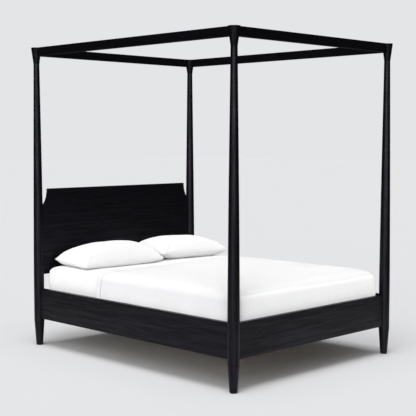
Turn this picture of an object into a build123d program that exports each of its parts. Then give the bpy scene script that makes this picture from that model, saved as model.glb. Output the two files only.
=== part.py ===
"""Four poster canopy bed with its bedding: turned posts, housed rails, slats, mattress.

The origin is on the floor under the middle of the bed. +Z is up, +Y runs from the
foot to the head, and +X is to the right of a person who stands at the foot.
All lengths are in millimetres.
"""
from build123d import *
import os

os.makedirs("parts", exist_ok=True)

# ------------------------------------------------------------------ driving sizes
post_x = 810.0                 # half the spacing of the post axes across the bed
post_y = 1036.0                # half the spacing of the post axes along the bed
total_height = 2281.0

glide_height = 4.0             # glides under the turned legs
glide_radius = 22.0
leg_top = 180.0
leg_foot_radius = 26.0
leg_foot_ease = 3.0            # rounding at the floor end of a turned leg
leg_top_radius = 38.0
groove_height = 4.0            # half of the ring groove between foot and post
groove_depth = 3.2
lower_post_radius = 39.0       # straight stretch that takes the rails
lower_post_straight_top = 520.0
post_split = 648.0             # where the upper post stands on the lower one
post_split_radius = 38.4
seam_ease = 0.8                # eased edges where the two halves of a post meet
neck_height = 2157.0           # slimmest place, under the capital
neck_radius = 22.1
capital_radius = 39.0

rail_bottom = 210.0
rail_top = 442.0
rail_thickness = 32.0
head_rail_top = 400.0
rail_housing = 27.0            # post axis to the bottom of a rail mortise

edge_ease = 1.5                # small rounding on the long edges of the rails

canopy_rail_height = 63.5
canopy_rail_thickness = 30.0
canopy_housing = 17.0          # post axis to the end of a canopy rail

panel_bottom = 548.0           # headboard panel
panel_top = 1207.0
panel_thickness = 30.0
panel_housing = 26.0
cove_start = 34.5              # post axis to the side of the scooped corner
cove_width = 56.0
cove_height = 125.0

ledger_size = 30.0
ledger_bottom = 310.0
ledger_half_length = 985.0
slat_count = 14
slat_width = 90.0
slat_thickness = 20.0
slat_deck = 360.0              # top of the slats
slat_half_length = 790.0
slat_span = 1976.0             # first edge to last edge of the row of slats
beam_width = 40.0
beam_height = 80.0
centre_leg_rows = {"foot": -340.0, "head": 340.0}
centre_leg_size = 46.0
centre_leg_bottom = 22.0

mattress_half_width = 755.0
mattress_foot = -1011.0
mattress_head = 1008.0
mattress_bottom = 360.3
mattress_top = 605.0
mattress_corner = 38.0
mattress_edge = 26.0           # rounding of the upper edge
coverlet_side = 762.0
coverlet_foot = -1018.0
coverlet_head = 362.0
coverlet_bottom = 364.0
coverlet_top = 632.0
coverlet_edge = 24.0
bedding_gap = 0.5              # between the mattress and what lies on it

pillow_length = 744.0
pillow_depth = 432.0
pillow_height = 182.0
pillow_centres = {"left": (-345.0, 782.0), "right": (425.0, 790.0)}
pillow_corner = 92.0
pillow_edge = 84.0

# fasteners
rail_bolt_radius = 4.0
rail_bolt_start = 6.0          # post axis to the buried end of the bolt
rail_bolt_length = 92.0
side_bolt_heights = [276.0, 376.0]
end_bolt_heights = [256.0, 356.0]
pocket_radius = 17.0           # pocket for nut and half-moon washer
pocket_centre = 92.0           # post axis to the middle of the pocket
pocket_depth = 24.0
washer_flat = 8.0              # middle of the pocket to the flat of the half-moon washer
washer_width = 14.0
nut_width = 13.0
nut_length = 6.5
stud_radius = 6.0
stud_reach = 42.0              # how far a stud goes into each half of a post joint
dowel_radius = 5.0
dowel_start = 8.0              # post axis to the buried end of the dowel
dowel_length = 60.0
dowel_heights = [590.0, 800.0, 1010.0]
canopy_bolt_height = 2246.0
canopy_bolt_radius = 3.0
canopy_bolt_start = 5.0        # post axis to the buried end of the bolt
canopy_bolt_length = 65.0
canopy_nut_width = 10.0
canopy_nut_length = 5.0
canopy_pocket_start = 60.0     # post axis to the wall that the nut bears on
canopy_pocket_end = 94.0
canopy_pocket_width = 14.0
canopy_pocket_floor = 2236.0
plug_depth = 10.0
screw_radius = 2.25
screw_head_radius = 4.6
screw_length = 45.0
short_screw_length = 20.0
slat_screw_inset = 11.0        # slat end to screw
hanger_plate = 3.0             # metal thickness of the beam hangers
hanger_half_width = 40.0
hanger_reach = 32.0            # how far the seat reaches under the beam
hanger_screw_x = 32.0
leveller_foot_radius = 16.0
leveller_foot_height = 8.0
leveller_stem_radius = 5.0
leveller_stem_top = 58.0
leveller_bore_top = 76.0
leg_bolt_reach = 32.0          # how far the bolt of a centre leg goes up into the beam
hanger_screw_heights = [262.0, 338.0]
hanger_plate_middle = 300.0
hanger_plate_height = 96.0
hole_play = 0.15               # a drilled hole is this much larger in radius

corners = {
    "head_left": (-1, 1),
    "head_right": (1, 1),
    "foot_left": (-1, -1),
    "foot_right": (1, -1),
}

rail_height = rail_top - rail_bottom
canopy_rail_bottom = total_height - canopy_rail_height
deck_underside = slat_deck - slat_thickness
beam_bottom = deck_underside - beam_height
rail_inner_x = post_x - rail_thickness / 2
rail_inner_y = post_y - rail_thickness / 2
ledger_middle = ledger_bottom + ledger_size / 2
ledger_inner_x = rail_inner_x - ledger_size
beam_half_length = rail_inner_y - hanger_plate - 0.5
slat_screw_x = slat_half_length - slat_screw_inset
slat_pitch = (slat_span - slat_width) / (slat_count - 1)
slat_rows = [slat_pitch * (index - (slat_count - 1) / 2) for index in range(slat_count)]
ledger_screw_rows = [slat_pitch * step for step in (-6, -4, -2, 0, 2, 4, 6)]


def finish(builder, label):
    """Name a finished piece and write its file."""
    builder.part.label = label
    export_step(builder.part, f"parts/{label}.step")


def along_bed(sy):
    """Direction from a post to the middle of the bed, along its length."""
    return (0, -sy, 0)


def across_bed(sx):
    """Direction from a post to the middle of the bed, across its width."""
    return (-sx, 0, 0)


def reversed_direction(direction):
    """The opposite direction."""
    return tuple(-step for step in direction)


def from_post(sx, sy, direction, distance, height):
    """The point at a height that lies the given distance from a post axis."""
    return (
        sx * post_x + direction[0] * distance,
        sy * post_y + direction[1] * distance,
        height,
    )


def facing(point, direction):
    """A plane at a point, with its normal along a direction."""
    return Plane(origin=point, z_dir=direction)


def turning_plane(x, y):
    """An upright plane through a post axis: local x is the radius, local y the height."""
    return Plane(origin=(x, y, 0), x_dir=(1, 0, 0), z_dir=(0, -1, 0))


def bore(plane, radius, depth):
    """Drill a round hole from a plane along its normal."""
    with Locations(plane):
        Cylinder(radius, depth, align=(Align.CENTER, Align.CENTER, Align.MIN), mode=Mode.SUBTRACT)


def rod(plane, radius, length):
    """Add a round rod from a plane along its normal."""
    with Locations(plane):
        Cylinder(radius, length, align=(Align.CENTER, Align.CENTER, Align.MIN))


def screw(plane, length):
    """Add a countersunk screw whose head lies flush in a plane and points along its normal."""
    rod(plane, screw_radius, length)
    with Locations(plane):
        Cone(screw_head_radius, screw_radius, 3, align=(Align.CENTER, Align.CENTER, Align.MIN))


def screw_hole(plane, depth):
    """Drill a countersunk hole that takes the screw of the same plane."""
    bore(plane, screw_radius + hole_play, depth)
    with Locations(plane):
        Cone(
            screw_head_radius + hole_play,
            screw_radius + hole_play,
            3 + hole_play,
            align=(Align.CENTER, Align.CENTER, Align.MIN),
            mode=Mode.SUBTRACT,
        )


def mortise(sx, sy, direction, start, thickness, bottom, top):
    """Cut a flat-bottomed mortise into a post, from a distance to its axis outwards."""
    reach = 40.0
    x, y, z = from_post(sx, sy, direction, start + reach / 2, (bottom + top) / 2)
    size_x = reach if direction[0] else thickness
    size_y = thickness if direction[0] else reach
    with Locations((x, y, z)):
        Box(size_x, size_y, top - bottom, mode=Mode.SUBTRACT)


def bolt_heights(direction):
    """Heights of the two bolts at a rail end: staggered where two rails meet in a post."""
    return end_bolt_heights if direction[0] else side_bolt_heights


def inner_face_direction(sx, sy, direction):
    """Direction from the middle of a rail to its inner face."""
    return (0, -sy, 0) if direction[0] else (-sx, 0, 0)


def rail_bolt_sites():
    """Every rail bolt, as (sx, sy, direction, height)."""
    return [
        (sx, sy, direction, height)
        for sx, sy in corners.values()
        for direction in (along_bed(sy), across_bed(sx))
        for height in bolt_heights(direction)
    ]


def canopy_bolt_sites():
    """Every canopy bolt, as (sx, sy, direction)."""
    return [(sx, sy, d) for sx, sy in corners.values() for d in (along_bed(sy), across_bed(sx))]


def bolt_rail_end(sx, sy, direction):
    """Drill the bolt holes of a rail end and bore the pockets of their nuts."""
    inner = inner_face_direction(sx, sy, direction)
    for height in bolt_heights(direction):
        bore(
            facing(from_post(sx, sy, direction, 0, height), direction),
            rail_bolt_radius + hole_play,
            pocket_centre,
        )
        x, y, z = from_post(sx, sy, direction, pocket_centre, height)
        face_point = (x + inner[0] * rail_thickness / 2, y + inner[1] * rail_thickness / 2, z)
        bore(facing(face_point, reversed_direction(inner)), pocket_radius, pocket_depth)


def canopy_rail_end(sx, sy, direction):
    """Drill the bolt hole of a canopy rail end and cut the nut pocket down from its top."""
    bore(
        facing(from_post(sx, sy, direction, 0, canopy_bolt_height), direction),
        canopy_bolt_radius + hole_play,
        canopy_pocket_end - 5,
    )
    middle = (canopy_pocket_start + canopy_pocket_end) / 2
    length = canopy_pocket_end - canopy_pocket_start
    x, y, z = from_post(sx, sy, direction, middle, (canopy_pocket_floor + total_height) / 2)
    size_x = length if direction[0] else canopy_pocket_width
    size_y = canopy_pocket_width if direction[0] else length
    with Locations((x, y, z)):
        Box(size_x, size_y, total_height - canopy_pocket_floor, mode=Mode.SUBTRACT)


# ------------------------------------------------------------------ turned posts
for corner, (sx, sy) in corners.items():
    x, y = sx * post_x, sy * post_y
    post_axis = Axis((x, y, 0), (0, 0, 1))

    # foot: a straight taper whose eased top edge is the lower half of the ring groove
    with BuildPart() as leg:
        with BuildSketch(turning_plane(x, y)):
            with BuildLine():
                Polyline(
                    (0, glide_height),
                    (leg_foot_radius - leg_foot_ease, glide_height),
                    (leg_foot_radius - leg_foot_ease / 4, glide_height + leg_foot_ease / 3),
                    (leg_foot_radius, glide_height + leg_foot_ease),
                    (leg_top_radius - 0.4, leg_top - groove_height),
                    (leg_top_radius - groove_depth, leg_top),
                    (0, leg_top),
                    close=True,
                )
            make_face()
        revolve(axis=post_axis)
        bore(facing((x, y, leg_top), (0, 0, -1)), stud_radius + hole_play, stud_reach)
    finish(leg, f"leg_{corner}")

    # lower post: takes the rails and the foot of the headboard panel in mortises
    with BuildPart() as lower_post:
        with BuildSketch(turning_plane(x, y)):
            with BuildLine():
                Polyline(
                    (0, post_split),
                    (0, leg_top),
                    (lower_post_radius - groove_depth, leg_top),
                    (lower_post_radius, leg_top + groove_height),
                    (lower_post_radius, lower_post_straight_top),
                    (post_split_radius, post_split - seam_ease),
                    (post_split_radius - seam_ease, post_split),
                    close=True,
                )
            make_face()
        revolve(axis=post_axis)
        end_rail_top = head_rail_top if sy > 0 else rail_top
        for direction, top in ((along_bed(sy), rail_top), (across_bed(sx), end_rail_top)):
            mortise(sx, sy, direction, rail_housing, rail_thickness, rail_bottom, top)
            for height in bolt_heights(direction):
                bore(
                    facing(from_post(sx, sy, direction, rail_bolt_start - 1, height), direction),
                    rail_bolt_radius + hole_play,
                    rail_housing,
                )
        if sy > 0:
            mortise(sx, sy, across_bed(sx), panel_housing, panel_thickness, panel_bottom, post_split)
            for height in dowel_heights[:1]:
                bore(
                    facing(from_post(sx, sy, across_bed(sx), dowel_start, height), across_bed(sx)),
                    dowel_radius + hole_play,
                    panel_housing,
                )
        bore(facing((x, y, leg_top), (0, 0, 1)), stud_radius + hole_play, stud_reach)
        bore(facing((x, y, post_split), (0, 0, -1)), stud_radius + hole_play, stud_reach)
    finish(lower_post, f"lower_post_{corner}")

    # upper post: a long slim taper, then a cone that flares into the capital
    with BuildPart() as upper_post:
        with BuildSketch(turning_plane(x, y)):
            with BuildLine():
                Polyline(
                    (neck_radius, neck_height),
                    (capital_radius, total_height),
                    (0, total_height),
                    (0, post_split),
                    (post_split_radius - seam_ease, post_split),
                    (post_split_radius, post_split + seam_ease),
                )
                Spline(
                    (post_split_radius, post_split + seam_ease),
                    (34.7, 1060.0),
                    (30.2, 1480.0),
                    (25.7, 1850.0),
                    (neck_radius, neck_height),
                )
            make_face()
        revolve(axis=post_axis)
        for direction in (along_bed(sy), across_bed(sx)):
            mortise(
                sx, sy, direction, canopy_housing, canopy_rail_thickness, canopy_rail_bottom, total_height
            )
            bore(
                facing(from_post(sx, sy, direction, canopy_bolt_start, canopy_bolt_height), direction),
                canopy_bolt_radius + hole_play,
                canopy_housing,
            )
        if sy > 0:
            cove_bottom = panel_top - cove_height
            mortise(sx, sy, across_bed(sx), panel_housing, panel_thickness, post_split, cove_bottom)
            for height in dowel_heights[1:]:
                bore(
                    facing(from_post(sx, sy, across_bed(sx), dowel_start, height), across_bed(sx)),
                    dowel_radius + hole_play,
                    panel_housing,
                )
        bore(facing((x, y, post_split), (0, 0, 1)), stud_radius + hole_play, stud_reach)
    finish(upper_post, f"upper_post_{corner}")

# ------------------------------------------------------------------ rails
rail_middle = (rail_bottom + rail_top) / 2

for side, sx in (("left", -1), ("right", 1)):
    with BuildPart() as side_rail:
        with BuildSketch(Plane.XZ):
            with Locations((sx * post_x, rail_middle)):
                RectangleRounded(rail_thickness, rail_height, edge_ease)
        extrude(amount=post_y - rail_housing, both=True)
        for sy in (-1, 1):
            bolt_rail_end(sx, sy, along_bed(sy))
        for row in ledger_screw_rows:
            bore(
                facing((sx * rail_inner_x, row, ledger_middle), (sx, 0, 0)),
                screw_radius + hole_play,
                screw_length - ledger_size + 1,
            )
    finish(side_rail, f"side_rail_{side}")

for end, sy, top in (("foot", -1, rail_top), ("head", 1, head_rail_top)):
    with BuildPart() as end_rail:
        with BuildSketch(Plane.YZ):
            with Locations((sy * post_y, (rail_bottom + top) / 2)):
                RectangleRounded(rail_thickness, top - rail_bottom, edge_ease)
        extrude(amount=post_x - rail_housing, both=True)
        for sx in (-1, 1):
            bolt_rail_end(sx, sy, across_bed(sx))
            for height in hanger_screw_heights:
                bore(
                    facing((sx * hanger_screw_x, sy * rail_inner_y, height), (0, sy, 0)),
                    screw_radius + hole_play,
                    short_screw_length,
                )
    finish(end_rail, f"{end}_rail")

canopy_middle = (canopy_rail_bottom + total_height) / 2

for side, sx in (("left", -1), ("right", 1)):
    with BuildPart() as canopy_side:
        with BuildSketch(Plane.XZ):
            with Locations((sx * post_x, canopy_middle)):
                RectangleRounded(canopy_rail_thickness, canopy_rail_height, edge_ease)
        extrude(amount=post_y - canopy_housing, both=True)
        for sy in (-1, 1):
            canopy_rail_end(sx, sy, along_bed(sy))
    finish(canopy_side, f"canopy_rail_{side}")

for end, sy in (("foot", -1), ("head", 1)):
    with BuildPart() as canopy_end:
        with BuildSketch(Plane.YZ):
            with Locations((sy * post_y, canopy_middle)):
                RectangleRounded(canopy_rail_thickness, canopy_rail_height, edge_ease)
        extrude(amount=post_x - canopy_housing, both=True)
        for sx in (-1, 1):
            canopy_rail_end(sx, sy, across_bed(sx))
    finish(canopy_end, f"canopy_rail_{end}")

# ------------------------------------------------------------------ headboard
# a flat panel; each upper corner is scooped by a quarter of an ellipse beside the post
panel_end = post_x - panel_housing
scoop_x = post_x - cove_start
with BuildPart() as headboard_panel:
    with BuildSketch(Plane.XZ.offset(-post_y)):
        with BuildLine():
            Polyline(
                (scoop_x, panel_top - cove_height),
                (panel_end, panel_top - cove_height),
                (panel_end, panel_bottom),
                (-panel_end, panel_bottom),
                (-panel_end, panel_top - cove_height),
                (-scoop_x, panel_top - cove_height),
            )
            EllipticalCenterArc((-scoop_x, panel_top), cove_width, cove_height, -90, arc_size=90)
            Line((-scoop_x + cove_width, panel_top), (scoop_x - cove_width, panel_top))
            EllipticalCenterArc((scoop_x, panel_top), cove_width, cove_height, 180, arc_size=90)
        make_face()
    extrude(amount=panel_thickness / 2, both=True)
    for sx in (-1, 1):
        for height in dowel_heights:
            bore(
                facing(from_post(sx, 1, across_bed(sx), panel_housing, height), across_bed(sx)),
                dowel_radius + hole_play,
                dowel_length - (panel_housing - dowel_start) + 1,
            )
finish(headboard_panel, "headboard_panel")

with BuildPart() as headboard_dowels:
    for sx in (-1, 1):
        for height in dowel_heights:
            rod(
                facing(from_post(sx, 1, across_bed(sx), dowel_start, height), across_bed(sx)),
                dowel_radius,
                dowel_length,
            )
finish(headboard_dowels, "headboard_dowels")

# ------------------------------------------------------------------ slatted base
for side, sx in (("left", -1), ("right", 1)):
    with BuildPart() as ledger:
        with BuildSketch(Plane.XZ):
            with Locations((sx * (rail_inner_x - ledger_size / 2), ledger_middle)):
                Rectangle(ledger_size, ledger_size)
        extrude(amount=ledger_half_length, both=True)
        for row in ledger_screw_rows:
            screw_hole(facing((sx * ledger_inner_x, row, ledger_middle), (sx, 0, 0)), ledger_size)
        for row in slat_rows:
            bore(
                facing((sx * slat_screw_x, row, deck_underside), (0, 0, -1)),
                screw_radius + hole_play,
                screw_length - slat_thickness + 1,
            )
    finish(ledger, f"ledger_{side}")

for number, row in enumerate(slat_rows, start=1):
    with BuildPart() as slat:
        with BuildSketch(Plane.XY.offset(deck_underside)):
            with Locations((0, row)):
                RectangleRounded(2 * slat_half_length, slat_width, 3)
        extrude(amount=slat_thickness)
        for sx in (-1, 1):
            screw_hole(facing((sx * slat_screw_x, row, slat_deck), (0, 0, -1)), slat_thickness)
    finish(slat, f"slat_{number:02d}")

with BuildPart() as wood_screws:
    for sx in (-1, 1):
        for row in ledger_screw_rows:
            screw(facing((sx * ledger_inner_x, row, ledger_middle), (sx, 0, 0)), screw_length)
        for row in slat_rows:
            screw(facing((sx * slat_screw_x, row, slat_deck), (0, 0, -1)), screw_length)
finish(wood_screws, "wood_screws")

with BuildPart() as centre_beam:
    with BuildSketch(Plane.XZ):
        with Locations((0, beam_bottom + beam_height / 2)):
            RectangleRounded(beam_width, beam_height, edge_ease)
    extrude(amount=beam_half_length, both=True)
    for row in centre_leg_rows.values():
        bore(facing((0, row, beam_bottom), (0, 0, 1)), rail_bolt_radius + hole_play, leg_bolt_reach + 1)
finish(centre_beam, "centre_beam")

# a bent metal seat on each end rail carries an end of the beam
with BuildPart() as beam_hangers:
    for sy in (-1, 1):
        plate_y = sy * (rail_inner_y - hanger_plate / 2)
        seat_y = sy * (rail_inner_y - hanger_plate - hanger_reach / 2)
        seat_half = beam_width / 2 + 0.5
        cheek_height = beam_height * 0.8
        with Locations((0, plate_y, hanger_plate_middle)):
            Box(2 * hanger_half_width, hanger_plate, hanger_plate_height)
        with Locations((0, seat_y, beam_bottom - hanger_plate / 2)):
            Box(2 * (seat_half + hanger_plate), hanger_reach, hanger_plate)
        for sx in (-1, 1):
            with Locations((sx * (seat_half + hanger_plate / 2), seat_y, beam_bottom + cheek_height / 2)):
                Box(hanger_plate, hanger_reach, cheek_height)
            for height in hanger_screw_heights:
                inner_side = sy * (rail_inner_y - hanger_plate)
                screw_hole(
                    facing((sx * hanger_screw_x, inner_side, height), (0, sy, 0)), hanger_plate
                )
finish(beam_hangers, "beam_hangers")

with BuildPart() as hanger_screws:
    for sy in (-1, 1):
        for sx in (-1, 1):
            for height in hanger_screw_heights:
                inner_side = sy * (rail_inner_y - hanger_plate)
                screw(facing((sx * hanger_screw_x, inner_side, height), (0, sy, 0)), short_screw_length)
finish(hanger_screws, "hanger_screws")

for place, row in centre_leg_rows.items():
    with BuildPart() as centre_leg:
        with BuildSketch(Plane.XY.offset(centre_leg_bottom)):
            with Locations((0, row)):
                RectangleRounded(centre_leg_size, centre_leg_size, 3)
        extrude(amount=beam_bottom - centre_leg_bottom)
        bore(
            facing((0, row, beam_bottom), (0, 0, -1)),
            rail_bolt_radius + hole_play,
            rail_bolt_length - leg_bolt_reach + 1,
        )
        bore(
            facing((0, row, centre_leg_bottom), (0, 0, 1)),
            leveller_stem_radius + hole_play,
            leveller_bore_top - centre_leg_bottom,
        )
    finish(centre_leg, f"centre_leg_{place}")

    # screw foot that takes up an uneven floor
    with BuildPart() as leveller:
        with BuildSketch(turning_plane(0, row)):
            with BuildLine():
                Polyline(
                    (0, 0),
                    (leveller_foot_radius - 1, 0),
                    (leveller_foot_radius, 1),
                    (leveller_foot_radius, leveller_foot_height / 2),
                    (leveller_stem_radius + 2, leveller_foot_height),
                    (leveller_stem_radius, leveller_foot_height),
                    (leveller_stem_radius, leveller_stem_top - 1),
                    (leveller_stem_radius - 1, leveller_stem_top),
                    (0, leveller_stem_top),
                    close=True,
                )
            make_face()
        revolve(axis=Axis((0, row, 0), (0, 0, 1)))
    finish(leveller, f"leveller_{place}")

# ------------------------------------------------------------------ fasteners
with BuildPart() as foot_glides:
    with BuildSketch(Plane.XY):
        for sx, sy in corners.values():
            with Locations((sx * post_x, sy * post_y)):
                Circle(glide_radius)
    extrude(amount=glide_height)
finish(foot_glides, "foot_glides")

for label, height in (("leg_studs", leg_top), ("post_studs", post_split)):
    with BuildPart() as studs:
        with BuildSketch(Plane.XY.offset(height)):
            for sx, sy in corners.values():
                with Locations((sx * post_x, sy * post_y)):
                    Circle(stud_radius)
        extrude(amount=stud_reach - 1, both=True)
    finish(studs, label)

# hanger bolts: the rails on the posts, and the centre legs on the beam
with BuildPart() as hanger_bolts:
    for sx, sy, direction, height in rail_bolt_sites():
        start = from_post(sx, sy, direction, rail_bolt_start, height)
        rod(facing(start, direction), rail_bolt_radius, rail_bolt_length)
    for row in centre_leg_rows.values():
        start = (0, row, beam_bottom + leg_bolt_reach)
        rod(facing(start, (0, 0, -1)), rail_bolt_radius, rail_bolt_length)
finish(hanger_bolts, "hanger_bolts")

# half-moon washers: the round side lies on the wall of the pocket, the nut on the flat
with BuildPart() as half_moon_washers:
    for sx, sy, direction, height in rail_bolt_sites():
        centre = from_post(sx, sy, direction, pocket_centre, height)
        normal = inner_face_direction(sx, sy, direction)
        washer_plane = Plane(origin=centre, x_dir=reversed_direction(direction), z_dir=normal)
        with BuildSketch(washer_plane):
            Circle(pocket_radius - hole_play)
            with Locations((washer_flat - pocket_radius, 0)):
                Rectangle(2 * pocket_radius, 2 * pocket_radius, mode=Mode.SUBTRACT)
        extrude(amount=washer_width / 2, both=True)
    for sx, sy, direction, height in rail_bolt_sites():
        bore(
            facing(from_post(sx, sy, direction, rail_housing, height), direction),
            rail_bolt_radius + hole_play,
            rail_bolt_length,
        )
finish(half_moon_washers, "half_moon_washers")

with BuildPart() as rail_nuts:
    for sx, sy, direction, height in rail_bolt_sites():
        start = from_post(sx, sy, direction, pocket_centre - washer_flat, height)
        with BuildSketch(facing(start, direction)):
            RegularPolygon(nut_width / 2, 6, major_radius=False)
            Circle(rail_bolt_radius + hole_play, mode=Mode.SUBTRACT)
        extrude(amount=nut_length)
finish(rail_nuts, "rail_nuts")

with BuildPart() as canopy_bolts:
    for sx, sy, direction in canopy_bolt_sites():
        start = from_post(sx, sy, direction, canopy_bolt_start, canopy_bolt_height)
        rod(facing(start, direction), canopy_bolt_radius, canopy_bolt_length)
finish(canopy_bolts, "canopy_bolts")

with BuildPart() as canopy_nuts:
    for sx, sy, direction in canopy_bolt_sites():
        start = from_post(sx, sy, direction, canopy_pocket_start, canopy_bolt_height)
        with BuildSketch(facing(start, direction)):
            RegularPolygon(canopy_nut_width / 2, 6, major_radius=False)
            Circle(canopy_bolt_radius + hole_play, mode=Mode.SUBTRACT)
        extrude(amount=canopy_nut_length)
finish(canopy_nuts, "canopy_nuts")

with BuildPart() as canopy_pocket_plugs:
    with BuildSketch(Plane.XY.offset(total_height)):
        for sx, sy, direction in canopy_bolt_sites():
            x, y, _ = from_post(sx, sy, direction, (canopy_pocket_start + canopy_pocket_end) / 2, 0)
            length = canopy_pocket_end - canopy_pocket_start
            with Locations((x, y)):
                if direction[0]:
                    Rectangle(length, canopy_pocket_width)
                else:
                    Rectangle(canopy_pocket_width, length)
    extrude(amount=-plug_depth)
finish(canopy_pocket_plugs, "canopy_pocket_plugs")

# ------------------------------------------------------------------ bedding
with BuildPart() as mattress:
    with BuildSketch(Plane.XY.offset(mattress_bottom)):
        with Locations((0, (mattress_foot + mattress_head) / 2)):
            RectangleRounded(2 * mattress_half_width, mattress_head - mattress_foot, mattress_corner)
    extrude(amount=mattress_top - mattress_bottom)
    fillet(mattress.faces().sort_by(Axis.Z)[-1].edges(), mattress_edge)
finish(mattress, "mattress")

# coverlet: lies over the foot two thirds and is tucked down between mattress and rails
coverlet_length = coverlet_head - coverlet_foot
skirt = coverlet_side - mattress_half_width - bedding_gap
with BuildPart() as coverlet:
    with BuildSketch(Plane.XY.offset(coverlet_bottom)) as outline:
        with Locations((0, coverlet_foot + coverlet_length / 2)):
            Rectangle(2 * coverlet_side, coverlet_length)
        fillet(outline.vertices().group_by(Axis.Y)[0], mattress_corner + skirt)
    extrude(amount=coverlet_top - coverlet_bottom)
    fillet(coverlet.faces().sort_by(Axis.Z)[-1].edges().sort_by(Axis.Y)[:-1], coverlet_edge)
    with BuildSketch(Plane.XY.offset(coverlet_bottom)) as hollow:
        with Locations((0, coverlet_foot + skirt + coverlet_length / 2)):
            Rectangle(2 * (coverlet_side - skirt), coverlet_length)
        fillet(hollow.vertices().group_by(Axis.Y)[0], mattress_corner)
    extrude(amount=mattress_top + bedding_gap - coverlet_bottom, mode=Mode.SUBTRACT)
finish(coverlet, "coverlet")

for side, centre in pillow_centres.items():
    with BuildPart() as pillow:
        with BuildSketch(Plane.XY.offset(mattress_top + bedding_gap)):
            with Locations(centre):
                RectangleRounded(pillow_length, pillow_depth, pillow_corner)
        extrude(amount=pillow_height)
        fillet(pillow.faces().sort_by(Axis.Z)[-1].edges(), pillow_edge)
        fillet(pillow.faces().sort_by(Axis.Z)[0].edges(), pillow_edge / 2)
    finish(pillow, f"pillow_{side}")
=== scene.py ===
"""Looks of a four poster canopy bed with its bedding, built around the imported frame.

Everything is in metres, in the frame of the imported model: the origin is on the floor
under the middle of the bed, +Z is up, +Y runs from the foot to the head, and +X is to
the right of a person who stands at the foot.
"""

import logging
import math
from collections.abc import Iterable
from dataclasses import dataclass, field, replace
from enum import Enum

import bmesh
import bpy
import numpy as np
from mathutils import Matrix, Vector


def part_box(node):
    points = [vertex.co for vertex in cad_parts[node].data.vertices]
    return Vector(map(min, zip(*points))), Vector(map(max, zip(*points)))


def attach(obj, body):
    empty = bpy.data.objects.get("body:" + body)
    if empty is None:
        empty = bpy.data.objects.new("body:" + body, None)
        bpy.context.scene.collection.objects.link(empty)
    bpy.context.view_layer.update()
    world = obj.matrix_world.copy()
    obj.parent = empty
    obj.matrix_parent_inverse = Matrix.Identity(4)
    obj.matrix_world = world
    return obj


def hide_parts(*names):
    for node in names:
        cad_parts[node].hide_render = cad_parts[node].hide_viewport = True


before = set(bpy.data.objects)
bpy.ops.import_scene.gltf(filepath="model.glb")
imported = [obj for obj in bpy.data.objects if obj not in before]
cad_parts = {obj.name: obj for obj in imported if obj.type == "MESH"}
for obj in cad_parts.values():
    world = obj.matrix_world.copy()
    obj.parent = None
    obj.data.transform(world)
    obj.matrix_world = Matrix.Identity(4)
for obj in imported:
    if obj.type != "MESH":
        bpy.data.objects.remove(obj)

log = logging.getLogger("canopy_bed")
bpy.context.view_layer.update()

Colour = tuple[float, float, float]


class Grain(Enum):
    """The row axis that a timber's grain runs along."""

    ACROSS = 0
    ALONG = 1
    UPRIGHT = 2


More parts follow.
